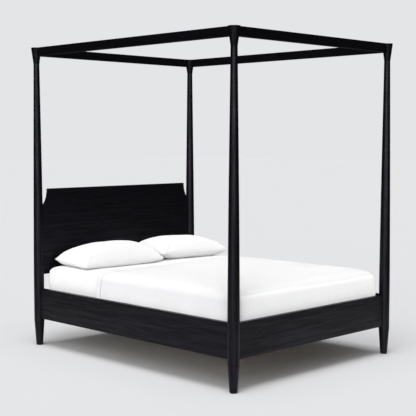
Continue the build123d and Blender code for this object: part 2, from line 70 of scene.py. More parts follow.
# --------------------------------------------------------------------------- node boards
class Board:
    """A material's node tree with short ways to add nodes and join them."""

    def __init__(self, name: str) -> None:
        """Start an empty material.

        Args:
            name: The material's name.
        """
        self.material = bpy.data.materials.new(name)
        self.material.use_nodes = True
        self.tree = self.material.node_tree
        self.tree.nodes.clear()
        self.shader = self.node("ShaderNodeBsdfPrincipled")
        output = self.node("ShaderNodeOutputMaterial")
        self.join(self.shader.outputs["BSDF"], output.inputs["Surface"])
        self.place = self.node("ShaderNodeTexCoord").outputs["Object"]

    def node(self, kind: str, **settings: object) -> bpy.types.Node:
        """Add a node and set its own properties.

        Args:
            kind: Blender's name of the node type.
            **settings: Properties of the node itself.

        Returns:
            The new node.
        """
        made = self.tree.nodes.new(kind)
        for key, value in settings.items():
            setattr(made, key, value)
        return made

    def join(self, source: bpy.types.NodeSocket, target: bpy.types.NodeSocket) -> None:
        """Link an output to an input."""
        self.tree.links.new(source, target)

    def feed(self, target: bpy.types.NodeSocket, value: object) -> None:
        """Set an input to a value, or link it when the value is an output."""
        if isinstance(value, bpy.types.NodeSocket):
            self.join(value, target)
        else:
            target.default_value = value

    def stretch(self, scale: Iterable[float], turn: Iterable[float] = (0, 0, 0)) -> bpy.types.NodeSocket:
        """Object coordinates, turned and scaled.

        Args:
            scale: The scale along each axis.
            turn: Euler angles of the turn, in radians.

        Returns:
            The mapped coordinates.
        """
        mapping = self.node("ShaderNodeMapping")
        mapping.inputs["Scale"].default_value = tuple(scale)
        mapping.inputs["Rotation"].default_value = tuple(turn)
        self.join(self.place, mapping.inputs["Vector"])
        return mapping.outputs["Vector"]

    def noise(
        self,
        place: bpy.types.NodeSocket,
        scale: float,
        detail: float = 3.0,
        rough: float = 0.5,
        distortion: float = 0.0,
    ) -> bpy.types.NodeSocket:
        """Fractal noise over the given coordinates.

        Args:
            place: The coordinates.
            scale: Cells per metre of mapped length.
            detail: Octaves.
            rough: How strong each finer octave is.
            distortion: How far the coordinates are pushed about.

        Returns:
            The noise, from 0 to 1.
        """
        made = self.node("ShaderNodeTexNoise")
        self.join(place, made.inputs["Vector"])
        made.inputs["Scale"].default_value = scale
        made.inputs["Detail"].default_value = detail
        made.inputs["Roughness"].default_value = rough
        made.inputs["Distortion"].default_value = distortion
        return made.outputs["Fac"]

    def spread(
        self, value: bpy.types.NodeSocket, low: float, high: float, out: tuple[float, float] = (0, 1)
    ) -> bpy.types.NodeSocket:
        """Map a range of a value smoothly onto another range, with the ends held.

        Args:
            value: The value.
            low: Where the smooth step starts.
            high: Where it ends.
            out: The results at the two ends.

        Returns:
            The mapped value.
        """
        made = self.node("ShaderNodeMapRange", interpolation_type="SMOOTHSTEP")
        self.join(value, made.inputs["Value"])
        made.inputs["From Min"].default_value = low
        made.inputs["From Max"].default_value = high
        made.inputs["To Min"].default_value = out[0]
        made.inputs["To Max"].default_value = out[1]
        return made.outputs["Result"]

    def sum(self, first: object, second: object, mode: str = "ADD") -> bpy.types.NodeSocket:
        """Join two values by a sum, or by another of Blender's operations.

        Args:
            first: A number or an output.
            second: A number or an output.
            mode: The operation.

        Returns:
            The result.
        """
        made = self.node("ShaderNodeMath", operation=mode)
        self.feed(made.inputs[0], first)
        self.feed(made.inputs[1], second)
        return made.outputs["Value"]

    def blend(self, share: bpy.types.NodeSocket, first: Colour, second: Colour) -> bpy.types.NodeSocket:
        """Mix two colours by a share.

        Args:
            share: 0 gives the first colour and 1 the second.
            first: A linear colour, or an output.
            second: A linear colour, or an output.

        Returns:
            The mixed colour.
        """
        made = self.node("ShaderNodeMix", data_type="RGBA")
        self.join(share, made.inputs["Factor"])
        for socket, value in ((made.inputs[6], first), (made.inputs[7], second)):
            self.feed(socket, value if isinstance(value, bpy.types.NodeSocket) else (*value, 1.0))
        return made.outputs[2]

    def bump(self, height: bpy.types.NodeSocket, distance: float, strength: float = 1.0) -> None:
        """Raise the surface by a height map.

        Args:
            height: The height, from 0 to 1.
            distance: The height of 1, in metres.
            strength: How much of the bump shows.
        """
        made = self.node("ShaderNodeBump")
        made.inputs["Distance"].default_value = distance
        made.inputs["Strength"].default_value = strength
        self.join(height, made.inputs["Height"])
        self.join(made.outputs["Normal"], self.shader.inputs["Normal"])

    def set(self, **values: object) -> bpy.types.Material:
        """Set or link the shader's own sockets.

        Args:
            **values: Socket names in lower case with underscores, and their values.

        Returns:
            The material.
        """
        for key, value in values.items():
            name = {"ior": "IOR", "specular": "Specular IOR Level"}.get(key, key.replace("_", " ").title())
            self.feed(self.shader.inputs[name], value)
        return self.material


# --------------------------------------------------------------------------- finishes
@dataclass(frozen=True)
class BlackStain:
    """Open-grained ash, stained blue-black and given a satin lacquer.

    Attributes:
        grain: The way that the grain runs.
        shade: Linear colour between the pores.
        pore: Linear colour in the pores.
        rough: Roughness of the lacquer between the pores.
    """

    grain: Grain
    shade: Colour = (0.0015, 0.0014, 0.0024)
    pore: Colour = (0.0008, 0.0008, 0.0011)
    rough: float = 0.32

    def along(self, length: float, width: float) -> tuple[float, float, float]:
        """Scales that give cells of a length along the grain and a width across it."""
        scale = [1.0 / width] * 3
        scale[self.grain.value] = 1.0 / length
        return tuple(scale)

    def material(self) -> bpy.types.Material:
        """Build the stained timber.

        The figure is broad bands stretched along the grain. The pores are fine dashes
        with the same stretch, which are darker, rougher and sunk.

        Returns:
            The material.
        """
        board = Board(f"black_stain_{self.grain.name.lower()}")
        bands = board.noise(board.stretch(self.along(0.42, 0.017)), 1.0, 4.0, 0.62, 0.5)
        streaks = board.noise(board.stretch(self.along(0.13, 0.0042)), 1.0, 3.0, 0.6, 0.15)
        dashes = board.noise(board.stretch(self.along(0.035, 0.0011)), 1.0, 2.0, 0.5)
        figure = board.sum(board.sum(bands, 0.6, "MULTIPLY"), board.sum(streaks, 0.4, "MULTIPLY"))
        light = board.spread(figure, 0.36, 0.64)
        pores = board.spread(dashes, 0.50, 0.62)
        tone = board.blend(light, tuple(0.55 * c for c in self.shade), tuple(1.6 * c for c in self.shade))
        colour = board.blend(board.sum(pores, 0.6, "MULTIPLY"), tone, self.pore)
        gloss = board.sum(
            board.spread(figure, 0.3, 0.7, (self.rough + 0.10, self.rough - 0.06)),
            board.sum(pores, 0.14, "MULTIPLY"),
        )
        raised, sunk = board.sum(streaks, 0.45, "MULTIPLY"), board.sum(pores, 0.55, "MULTIPLY")
        height = board.sum(raised, sunk, "SUBTRACT")
        board.bump(height, 0.0005, 0.55)
        shine = board.spread(figure, 0.36, 0.64, (0.15, 0.31))
        return board.set(
            base_color=colour, roughness=gloss, specular=shine, specular_tint=(0.86, 0.80, 1.0, 1.0)
        )


@dataclass(frozen=True)
class Pine:
    """Planed pine, left plain, for the slats and the frame under them."""

    grain: Grain
    early: Colour = (0.54, 0.48, 0.40)
    late: Colour = (0.38, 0.31, 0.23)

    def material(self) -> bpy.types.Material:
        """Build the plain timber, with growth rings drawn out along the grain.

        Returns:
            The material.
        """
        board = Board(f"plain_pine_{self.grain.name.lower()}")
        scale = [34.0] * 3
        scale[self.grain.value] = 1.1
        rings = board.noise(board.stretch(scale), 1.0, 2.0, 0.4, 0.9)
        waves = board.sum(board.sum(rings, 34.0, "MULTIPLY"), 0.0, "SINE")
        share = board.spread(waves, 0.1, 1.0)
        fine = [900.0] * 3
        fine[self.grain.value] = 16.0
        fibre = board.noise(board.stretch(fine), 1.0, 2.0)
        dark = board.sum(share, board.spread(fibre, 0.3, 0.7, (0.0, 0.35)))
        colour = board.blend(dark, self.early, self.late)
        board.bump(fibre, 0.0002, 0.5)
        return board.set(base_color=colour, roughness=0.62)


@dataclass(frozen=True)
class Metal:
    """A metal finish of fasteners and brackets."""

    name: str
    colour: Colour
    rough: float
    metallic: float = 1.0

    def material(self) -> bpy.types.Material:
        """Build the metal, with a cloudy plating and fine scratches.

        Returns:
            The material.
        """
        board = Board(self.name)
        cloud = board.noise(board.stretch((1, 1, 1)), 240.0, 4.0)
        scratch = board.noise(board.stretch((300, 300, 3000)), 1.0, 2.0)
        colour = board.blend(cloud, tuple(0.8 * c for c in self.colour), self.colour)
        rough = board.spread(board.sum(cloud, scratch), 0.6, 1.4, (self.rough - 0.07, self.rough + 0.1))
        board.bump(scratch, 0.00004, 0.4)
        return board.set(base_color=colour, roughness=rough, metallic=self.metallic)


@dataclass(frozen=True)
class Nylon:
    """Moulded dark nylon of the glides and screw feet."""

    colour: Colour = (0.020, 0.020, 0.022)

    def material(self) -> bpy.types.Material:
        """Build the nylon, with a fine moulded grain.

        Returns:
            The material.
        """
        board = Board("dark_nylon")
        grain = board.noise(board.stretch((1, 1, 1)), 2600.0, 2.0)
        colour = board.blend(grain, tuple(0.75 * c for c in self.colour), self.colour)
        board.bump(grain, 0.00008, 0.5)
        return board.set(base_color=colour, roughness=board.spread(grain, 0.2, 0.8, (0.42, 0.56)))


# --------------------------------------------------------------------------- studio
@dataclass
class Studio:
    """The camera, the pale floor and the soft lights.

    Attributes:
        eye: The place of the camera.
        turn: Bearing of the camera from +Y towards +X, in degrees.
        drop: How far the camera looks below the horizon, in degrees.
        lens: Focal length in millimetres on a sensor 36 mm wide.
        pale: Linear colour of the floor and the backdrop, as they look.
    """

    eye: tuple[float, float, float] = (-5.212, -5.212, 1.5875)
    turn: float = 45.0
    drop: float = 4.0
    lens: float = 85.0
    pale: Colour = (0.776, 0.783, 0.799)

    def camera(self) -> None:
        """Set up the camera."""
        data = bpy.data.cameras.new("camera")
        data.lens = self.lens
        data.sensor_width = 36.0
        data.clip_end = 200.0
        made = bpy.data.objects.new("camera", data)
        made.location = self.eye
        made.rotation_euler = (math.radians(90.0 - self.drop), 0.0, math.radians(-self.turn))
        bpy.context.scene.collection.objects.link(made)
        bpy.context.scene.camera = made

    def sun(
        self,
        name: str,
        strength: float,
        spread: float,
        bearing: float,
        height: float,
        keep_off: tuple[bpy.types.Object, ...] = (),
    ) -> None:
        """Add one broad, far light.

        Args:
            name: The light's name.
            strength: Irradiance on a surface that faces it.
            spread: Angle that the light fills, in degrees.
            bearing: Where it stands, from -Y towards -X, in degrees.
            height: How high it stands, in degrees.
            keep_off: Objects that it doesn't light.
        """
        data = bpy.data.lights.new(name, "SUN")
        data.energy = strength
        data.angle = math.radians(spread)
        made = bpy.data.objects.new(name, data)
        turn, rise = math.radians(bearing), math.radians(height)
        towards = Vector((-math.sin(turn) * math.cos(rise), -math.cos(turn) * math.cos(rise), math.sin(rise)))
        made.rotation_euler = towards.to_track_quat("Z", "Y").to_euler()
        bpy.context.scene.collection.objects.link(made)
        if keep_off:
            shaded = bpy.data.collections.new(f"{name}_keeps_off")
            for item in keep_off:
                shaded.objects.link(item)
            for entry in shaded.collection_objects:
                entry.light_linking.link_state = "EXCLUDE"
            made.light_linking.receiver_collection = shaded

    def sky(self, zenith: float, horizon: float) -> None:
        """Light the room from above, dimmer towards the horizon, and show the plain backdrop.

        Args:
            zenith: Brightness overhead.
            horizon: Brightness at the horizon.
        """
        world = bpy.data.worlds.new("studio")
        bpy.context.scene.world = world
        world.use_nodes = True
        tree = world.node_tree
        tree.nodes.clear()
        place = tree.nodes.new("ShaderNodeTexCoord")
        split = tree.nodes.new("ShaderNodeSeparateXYZ")
        tree.links.new(place.outputs["Generated"], split.inputs["Vector"])
        rise = tree.nodes.new("ShaderNodeMapRange")
        rise.interpolation_type = "SMOOTHSTEP"
        tree.links.new(split.outputs["Z"], rise.inputs["Value"])
        rise.inputs["From Min"].default_value = 0.15
        rise.inputs["From Max"].default_value = 0.80
        rise.inputs["To Min"].default_value = horizon
        rise.inputs["To Max"].default_value = zenith
        room = tree.nodes.new("ShaderNodeBackground")
        room.inputs["Color"].default_value = (1.0, 1.0, 1.0, 1.0)
        tree.links.new(rise.outputs["Result"], room.inputs["Strength"])
        backdrop = tree.nodes.new("ShaderNodeBackground")
        backdrop.inputs["Color"].default_value = (*self.pale, 1.0)
        ray = tree.nodes.new("ShaderNodeLightPath")
        mix = tree.nodes.new("ShaderNodeMixShader")
        tree.links.new(ray.outputs["Is Camera Ray"], mix.inputs["Fac"])
        tree.links.new(room.outputs["Background"], mix.inputs[1])
        tree.links.new(backdrop.outputs["Background"], mix.inputs[2])
        output = tree.nodes.new("ShaderNodeOutputWorld")
        tree.links.new(mix.outputs["Shader"], output.inputs["Surface"])

    def floor(self, albedo: Colour, reach: float = 60.0) -> bpy.types.Object:
        """Lay the plain floor, which fades out of the light that falls on the bed from far away.

        Args:
            albedo: Linear colour of the floor itself.
            reach: Half of its side.

        Returns:
            The floor.
        """
        corners = np.array([(-1, -1, 0), (1, -1, 0), (1, 1, 0), (-1, 1, 0)], float) * reach
        mesh = bpy.data.meshes.new("floor")
        mesh.from_pydata(corners.tolist(), [], [(0, 1, 2, 3)])
        made = bpy.data.objects.new("floor", mesh)
        bpy.context.scene.collection.objects.link(made)
        board = Board("pale_floor")
        tone = board.noise(board.stretch((1, 1, 1)), 0.8, 2.0)
        colour = board.blend(tone, tuple(0.998 * c for c in albedo), albedo)
        away = board.node("ShaderNodeVectorMath", operation="LENGTH")
        board.join(board.place, away.inputs[0])
        far = board.spread(away.outputs["Value"], 2.2, 4.5)
        unseen = board.sum(1.0, board.node("ShaderNodeLightPath").outputs["Is Camera Ray"], "SUBTRACT")
        colour = board.blend(board.sum(far, unseen, "MULTIPLY"), colour, (0.03, 0.03, 0.03))
        mesh.materials.append(board.set(base_color=colour, roughness=1.0, specular=0.0))
        return made

    def build(self) -> None:
        """Set up the camera, the light and the floor."""
        bpy.context.scene.view_settings.view_transform = "Standard"
        self.camera()
        floor = self.floor((0.905, 0.911, 0.926))
        self.sky(zenith=0.18, horizon=0.04)
        self.sun("left", 1.30, 60.0, 70.0, 28.0)
        self.sun("front", 2.68, 66.0, 42.0, 4.0, keep_off=(floor,))
        self.sun("top", 1.68, 36.0, 60.0, 80.0)
        log.info("studio is set up")


# --------------------------------------------------------------------------- timber frame
def dress(names: Iterable[str], material: bpy.types.Material) -> None:
    """Give CAD nodes a material on every slot.

    Args:
        names: The nodes.
        material: The finish.
    """
    for name in names:
        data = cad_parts[name].data
        if not data.materials:
            data.materials.append(material)
        for index in range(len(data.materials)):
            data.materials[index] = material
        log.info("dressed %s in %s", name, material.name)


def nodes_with(*starts: str) -> list[str]:
    """Names of the CAD nodes that start with one of the given words."""
    return sorted(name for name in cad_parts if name.startswith(starts))


@dataclass
class TimberFrame:
    """Posts, rails, headboard and slatted base, which keep their CAD shapes."""

    stains: dict[Grain, BlackStain] = field(default_factory=lambda: {g: BlackStain(g) for g in Grain})

    def build(self) -> None:
        """Dress every timber piece, with its grain along its length."""
        stain = {grain: finish.material() for grain, finish in self.stains.items()}
        upright = nodes_with("leg_head", "leg_foot", "lower_post", "upper_post", "centre_leg")
        dress(upright, stain[Grain.UPRIGHT])
        dress(nodes_with("side_rail", "canopy_rail_left", "canopy_rail_right"), stain[Grain.ALONG])
        dress(
            nodes_with("foot_rail", "head_rail", "canopy_rail_head", "canopy_rail_foot", "headboard_panel"),
            stain[Grain.ACROSS],
        )
        dress(["canopy_pocket_plugs"], stain[Grain.ALONG])
        dress(nodes_with("slat_"), Pine(Grain.ACROSS).material())
        dress(nodes_with("ledger_", "centre_beam"), Pine(Grain.ALONG).material())
        dress(["headboard_dowels"], Pine(Grain.ACROSS).material())


@dataclass
class Hardware:
    """Studs, bolts, nuts, washers, screws, hangers, glides and screw feet."""

    zinc: Metal = Metal("zinc_plate", (0.56, 0.57, 0.58), 0.30)
    black: Metal = Metal("black_steel", (0.028, 0.028, 0.031), 0.48, 0.0)

    def build(self) -> None:
        """Dress every piece of hardware."""
        plated = ["leg_studs", "post_studs", "hanger_bolts", "half_moon_washers", "rail_nuts"]
        plated += ["canopy_bolts", "canopy_nuts", "wood_screws", "hanger_screws"]
        dress(plated, self.zinc.material())
        dress(["beam_hangers"], self.black.material())
        dress(["foot_glides", *nodes_with("leveller_")], Nylon().material())


# --------------------------------------------------------------------------- mesh helpers
def grid_faces(rows: int, columns: int, ring: bool = False, first: int = 0) -> np.ndarray:
    """Corner indices of the faces between the points of a grid.

    Args:
        rows: Rows of points.
        columns: Points in a row.
        ring: Whether the last point of a row is joined to the first.
        first: Index of the grid's first point.

    Returns:
        One row of four indices for each face.
    """
    row, column = np.meshgrid(np.arange(rows - 1), np.arange(columns if ring else columns - 1), indexing="ij")
    here = row * columns + column
    beside = row * columns + (column + 1) % columns
    return first + np.stack([here, beside, beside + columns, here + columns], -1).reshape(-1, 4)


def surface(
    name: str, points: np.ndarray, faces: np.ndarray, material: bpy.types.Material
) -> bpy.types.Object:
    """Put a smooth surface of quads into the scene.

    Args:
        name: The piece's name.
        points: Points in metres, one row each.
        faces: Corner indices, one row of four for each face.
        material: The finish.

    Returns:
        The new object.
    """
    mesh = bpy.data.meshes.new(name)
    mesh.vertices.add(len(points))
    mesh.vertices.foreach_set("co", points.astype(np.float32).ravel())
    mesh.loops.add(faces.size)
    mesh.loops.foreach_set("vertex_index", faces.astype(np.int32).ravel())
    mesh.polygons.add(len(faces))
    mesh.polygons.foreach_set("loop_start", np.arange(0, faces.size, 4, dtype=np.int32))
    mesh.polygons.foreach_set("use_smooth", np.ones(len(faces), bool))
    mesh.update(calc_edges=True)
    mesh.materials.append(material)
    made = bpy.data.objects.new(name, mesh)
    bpy.context.scene.collection.objects.link(made)
    log.info("made %s with %d faces", name, len(faces))
    return made


def weld(piece: bpy.types.Object, gap: float = 0.00002) -> None:
    """Join the points of a piece that lie in the same place."""
    work = bmesh.new()
    work.from_mesh(piece.data)
    bmesh.ops.remove_doubles(work, verts=work.verts, dist=gap)
    work.to_mesh(piece.data)
    work.free()


def solidify(piece: bpy.types.Object, thickness: float) -> None:
    """Give a surface a thickness, inwards from the side that it faces."""
    made = piece.modifiers.new("thickness", "SOLIDIFY")
    made.thickness = thickness
    made.offset = -1.0
    made.use_even_offset = False


def tube(
    name: str, line: np.ndarray, radius: float, material: bpy.types.Material, closed: bool, sides: int = 6
) -> bpy.types.Object:
    """Sweep a round section along a line.

    Args:
        name: The piece's name.
        line: Points of the centreline, one row each.
        radius: Radius of the section.
        material: The finish.
        closed: Whether the line comes back to its start.
        sides: Corners of the section.

    Returns:
        The new object.
    """
    if closed:
        ahead = np.roll(line, -1, 0) - np.roll(line, 1, 0)
    else:
        ahead = np.gradient(line, axis=0)
    ahead /= np.linalg.norm(ahead, axis=1, keepdims=True)
    across = np.cross(ahead, (0.0, 0.0, 1.0))
    across /= np.maximum(np.linalg.norm(across, axis=1, keepdims=True), 1e-9)
    upward = np.cross(across, ahead)
    angle = np.arange(sides) * 2 * np.pi / sides
    section = np.cos(angle)[None, :, None] * across[:, None] + np.sin(angle)[None, :, None] * upward[:, None]
    points = (line[:, None] + radius * section).reshape(-1, 3)
    rows = len(line)
    faces = grid_faces(rows, sides, ring=True)
    if closed:
        step = np.arange(sides)
        last = (rows - 1) * sides
        after = (step + 1) % sides
        faces = np.vstack([faces, np.stack([last + step, last + after, after, step], -1)])
    return surface(name, points, faces[:, ::-1], material)


def ease(value: np.ndarray, low: float, high: float) -> np.ndarray:
    """A smooth step from 0 at the low end to 1 at the high end."""
    share = np.clip((value - low) / (high - low), 0.0, 1.0)
    return share * share * (3.0 - 2.0 * share)


@dataclass(frozen=True)
class Waves:
    """A smooth random field: a seeded sum of plane waves of one band of lengths.

    Attributes:
        seed: Seed of the directions, lengths and phases.
        shortest: Shortest wave, in metres.
        longest: Longest wave, in metres.
        shape: How strongly the field varies along each row axis.
        count: Number of waves.
    """

    seed: int
    shortest: float
    longest: float
    shape: tuple[float, float, float] = (1.0, 1.0, 1.0)
    count: int = 26

    def at(self, points: np.ndarray) -> np.ndarray:
        """The field at points.

        Args:
            points: Points, with the three coordinates last.

        Returns:
            Values of about -1 to 1.
        """
        random = np.random.default_rng(self.seed)
        turn = random.uniform(0.0, 2 * np.pi, self.count)
        rise = random.uniform(-1.0, 1.0, self.count)
        flat = np.sqrt(1.0 - rise**2)
        direction = np.stack([flat * np.cos(turn), flat * np.sin(turn), rise], -1)
        length = np.exp(random.uniform(np.log(self.shortest), np.log(self.longest), self.count))
        phase = random.uniform(0.0, 2 * np.pi, self.count)
        cycles = 2 * np.pi * direction * np.array(self.shape) / length[:, None]
        return np.cos(points @ cycles.T + phase).sum(-1) / math.sqrt(self.count) * 0.9

    def creases(self, points: np.ndarray, width: float) -> np.ndarray:
        """Thin ridges where the field passes through nought."""
        return np.exp(-((self.at(points) / width) ** 2))


# --------------------------------------------------------------------------- cloth
@dataclass(frozen=True)
class Cotton:
    """Woven white cotton.

    Attributes:
        name: The material's name.
        colour: Linear colour of the cloth.
        thread: Distance between two threads, in metres.
        nap: Height of the threads and the nap, in metres.
        crumple: Height of the small creases, in metres.
        stitches: Lines of stitching, each a sunk line with painted shade along it, as (row axis, where,
            width) with the axis as 0, 1 or 2.
    """

    name: str
    colour: Colour
    thread: float = 0.0006
    nap: float = 0.00010
    crumple: float = 0.0012
    stitches: tuple[tuple[int, float, float], ...] = ()

    def material(self) -> bpy.types.Material:
        """Build the cloth: crossing threads, a soft nap, small creases and any stitching, with painted shade
        along each sunk stitching line.

        Returns:
            The material.
        """
        board = Board(self.name)
        long, fine = 1.0 / (14 * self.thread), 1.0 / self.thread
        weft = board.noise(board.stretch((long, fine, fine)), 1.0, 1.0)
        warp = board.noise(board.stretch((fine, long, fine)), 1.0, 1.0)
        upright = board.noise(board.stretch((fine, fine, long)), 1.0, 1.0)
        weave = board.sum(board.sum(weft, warp), upright)
        creases = board.noise(board.stretch((1, 1, 1)), 9.0, 3.0, 0.45, 0.6)
        cloud = board.noise(board.stretch((1, 1, 1)), 3.0, 2.0)
        threads = board.spread(weave, 1.1, 1.9)
        raised = board.sum(threads, self.nap, "MULTIPLY")
        crumpled = board.sum(creases, self.crumple, "MULTIPLY")
        height = board.sum(raised, crumpled)
        shade = board.sum(board.sum(threads, 0.5, "MULTIPLY"), board.sum(cloud, 0.5, "MULTIPLY"))
        colour = board.blend(shade, tuple(0.962 * c for c in self.colour), self.colour)
        for axis, where, width in self.stitches:
            line, mark = self.stitching(board, axis, where, width)
            height = board.sum(height, board.sum(line, -0.0030, "MULTIPLY"))
            # Painted shade: the cloth is darkened along the sunk line, standing in for the shadow in the
            # seam's groove. The thin thread mark below is the thread's own grey.
            shaded = board.sum(line, 0.35, "MULTIPLY")
            colour = board.blend(shaded, colour, tuple(0.45 * c for c in self.colour))
            colour = board.blend(mark, colour, tuple(0.80 * c for c in self.colour))
        board.bump(height, 1.0)
        return board.set(
            base_color=colour,
            roughness=board.spread(cloud, 0.3, 0.7, (0.86, 0.94)),
            diffuse_roughness=0.8,
            specular=0.12,
        )

    def stitching(
        self, board: Board, axis: int, where: float, width: float
    ) -> tuple[bpy.types.NodeSocket, bpy.types.NodeSocket]:
        """A sunk line of stitching across the cloth at one place on a row axis.

        Args:
            board: The material's board.
            axis: The row axis.
            where: Its place on that axis, in metres.
            width: Width of the sunk line, in metres.

        Returns:
            The depth of the line from 0 to 1, which also sets its painted shade, and the mark of its thread
            from 0 to 1.
        """
        split = board.node("ShaderNodeSeparateXYZ")
        board.join(board.place, split.inputs["Vector"])
        near = board.sum(board.sum(split.outputs[axis], -where), 0.0, "ABSOLUTE")
        line = board.spread(near, 0.0, width, (1.0, 0.0))
        run = board.sum(board.sum(split.outputs[0], split.outputs[2]), 2 * math.pi / 0.0042, "MULTIPLY")
        gap = board.spread(board.sum(run, 0.0, "SINE"), -0.6, 0.2)
        thread = board.spread(near, 0.0002, 0.0007, (1.0, 0.0))
        return line, board.sum(thread, gap, "MULTIPLY")


@dataclass(frozen=True)
class Ticking:
    """Quilted mattress cover, with small diamonds stitched into it."""

    colour: Colour = (0.60, 0.60, 0.58)
    pitch: float = 0.055

    def material(self) -> bpy.types.Material:
        """Build the quilted cover, with painted shade along the sunk quilting lines.

        Returns:
            The material.
        """
        board = Board("mattress_ticking")
        split = board.node("ShaderNodeSeparateXYZ")
        board.join(board.place, split.inputs["Vector"])
        x, y = split.outputs[0], split.outputs[1]
        turn = math.pi / self.pitch
        lines = []
        for mode in ("ADD", "SUBTRACT"):
            wave = board.sum(board.sum(board.sum(x, y, mode), turn, "MULTIPLY"), 0.0, "SINE")
            lines.append(board.sum(wave, 0.0, "ABSOLUTE"))
        puff = board.spread(board.sum(*lines, "MINIMUM"), 0.0, 0.45)
        knit = board.noise(board.stretch((1, 1, 1)), 900.0, 2.0)
        # Painted shade: the colour is darker where the puff sinks into the quilting lines, standing in for
        # the shadow in those channels.
        share = board.sum(puff, board.sum(knit, 0.4, "MULTIPLY"), "MULTIPLY")
        colour = board.blend(share, tuple(0.7 * c for c in self.colour), self.colour)
        quilted, knitted = board.sum(puff, 0.004, "MULTIPLY"), board.sum(knit, 0.0002, "MULTIPLY")
        board.bump(board.sum(quilted, knitted), 1.0, 0.8)
        return board.set(base_color=colour, roughness=0.92, specular=0.12)


@dataclass(frozen=True)
class Section:
    """The way that a cover runs over the edge of a block, from its hem to the middle of the top.

    Attributes:
        inward: Distance in from the sides, at each step.
        height: Height at each step.
        lean: Slope of the outward direction at each step, from 0 on a side to 90 degrees on top.
    """

    inward: np.ndarray
    height: np.ndarray
    lean: np.ndarray

    @staticmethod
    def over(
        base: float, top: float, edge: tuple[float, float], middle: float, under: float, turn: float
    ) -> "Section":
        """Build the section of a cover.

        Args:
            base: Height of its lowest point.
            top: Height of its top.
            edge: How far the rounding of the top edge reaches in, and how far down.
            middle: Distance from the sides to the middle of the top.
            under: How far it reaches in under the block; 0 for a cover that ends at its side.
            turn: Radius of the lower edge, where the cover goes under.

        Returns:
            The section.
        """
        arc = np.radians(np.linspace(0, 90, 12))[1:]
        side_start = base + turn if under else base
        side = np.linspace(side_start, top - edge[1], 18)
        flat = np.linspace(edge[0], middle, 60)[1:]
        inward = [np.zeros_like(side), edge[0] * (1 - np.cos(arc)), flat]
        height = [side, top - edge[1] * (1 - np.sin(arc)), np.full_like(flat, top)]
        lean = [np.zeros_like(side), arc, np.full_like(flat, math.pi / 2)]
        if under:
            low = np.radians(np.linspace(-90, 0, 8))[:-1]
            back = np.linspace(under, turn, 10)[:-1]
            inward = [back, turn * (1 - np.cos(low)), *inward]
            height = [np.full_like(back, base), base + turn * (1 + np.sin(low)), *height]
            lean = [np.full_like(back, -math.pi / 2), low, *lean]
        return Section(np.concatenate(inward), np.concatenate(height), np.concatenate(lean))


@dataclass(frozen=True)
class Block:
    """A block with upright rounded corners that covers are wrapped round.

    Attributes:
        half_width: Half of its size across the bed.
        foot: Where it ends towards the foot.
        head: Where it ends towards the head.
        corner: Radius of its upright corners.
        open_head: Whether a cover of it stops at the head with a free edge.
    """

    half_width: float
    foot: float
    head: float
    corner: float
    open_head: bool = False

    def stations(self) -> np.ndarray:
        """Places round the block, from the head end of the left side.

        Returns:
            One row for each place: its share of the straight stretches across and along,
            from -1 to 1, and the outward direction across and along.
        """
        turn = np.radians(np.linspace(0, 90, 12))[1:-1]
        down = np.concatenate([np.linspace(1.0, 0.93, 9)[:-1], np.linspace(0.93, -1.0, 112)])
        along = np.linspace(-1.0, 1.0, 96)
        still = np.ones_like(turn)
        left = np.stack([-np.ones_like(down), down, -np.ones_like(down), 0 * down], -1)
        foot_left = np.stack([-still, -still, -np.cos(turn), -np.sin(turn)], -1)
        foot = np.stack([along, -np.ones_like(along), 0 * along, -np.ones_like(along)], -1)
        foot_right = np.stack([still, -still, np.sin(turn), -np.cos(turn)], -1)
        right = left[::-1] * np.array([-1.0, 1.0, -1.0, 1.0])
        parts = [left, foot_left, foot, foot_right, right]
        if not self.open_head:
            turned = np.array([-1.0, -1.0, -1.0, -1.0])
            parts += [foot_left * turned, foot * turned, foot_right * turned]
        return np.concatenate(parts)

    def wrap(self, section: Section) -> tuple[np.ndarray, np.ndarray]:
        """Lay a section round the block.

        Args:
            section: The section.

        Returns:
            The points and the outward directions, both as rings by places by three.
        """
        share_x, share_y, out_x, out_y = self.stations().T
        inward = section.inward[:, None]
        half = self.half_width - inward
        round_off = self.corner * np.clip(half / self.half_width, 0.0, 1.0)
        low = self.foot + inward + round_off
        high = self.head if self.open_head else self.head - inward - round_off
        x = share_x * (half - round_off) + round_off * out_x
        y = low + (share_y + 1) / 2 * (high - low) + round_off * out_y
        z = np.broadcast_to(section.height[:, None], x.shape)
        flat, rise = np.cos(section.lean)[:, None], np.sin(section.lean)[:, None]
        outward = np.stack([flat * out_x, flat * out_y, np.broadcast_to(rise, x.shape)], -1)
        return np.stack([x, y, z], -1), outward


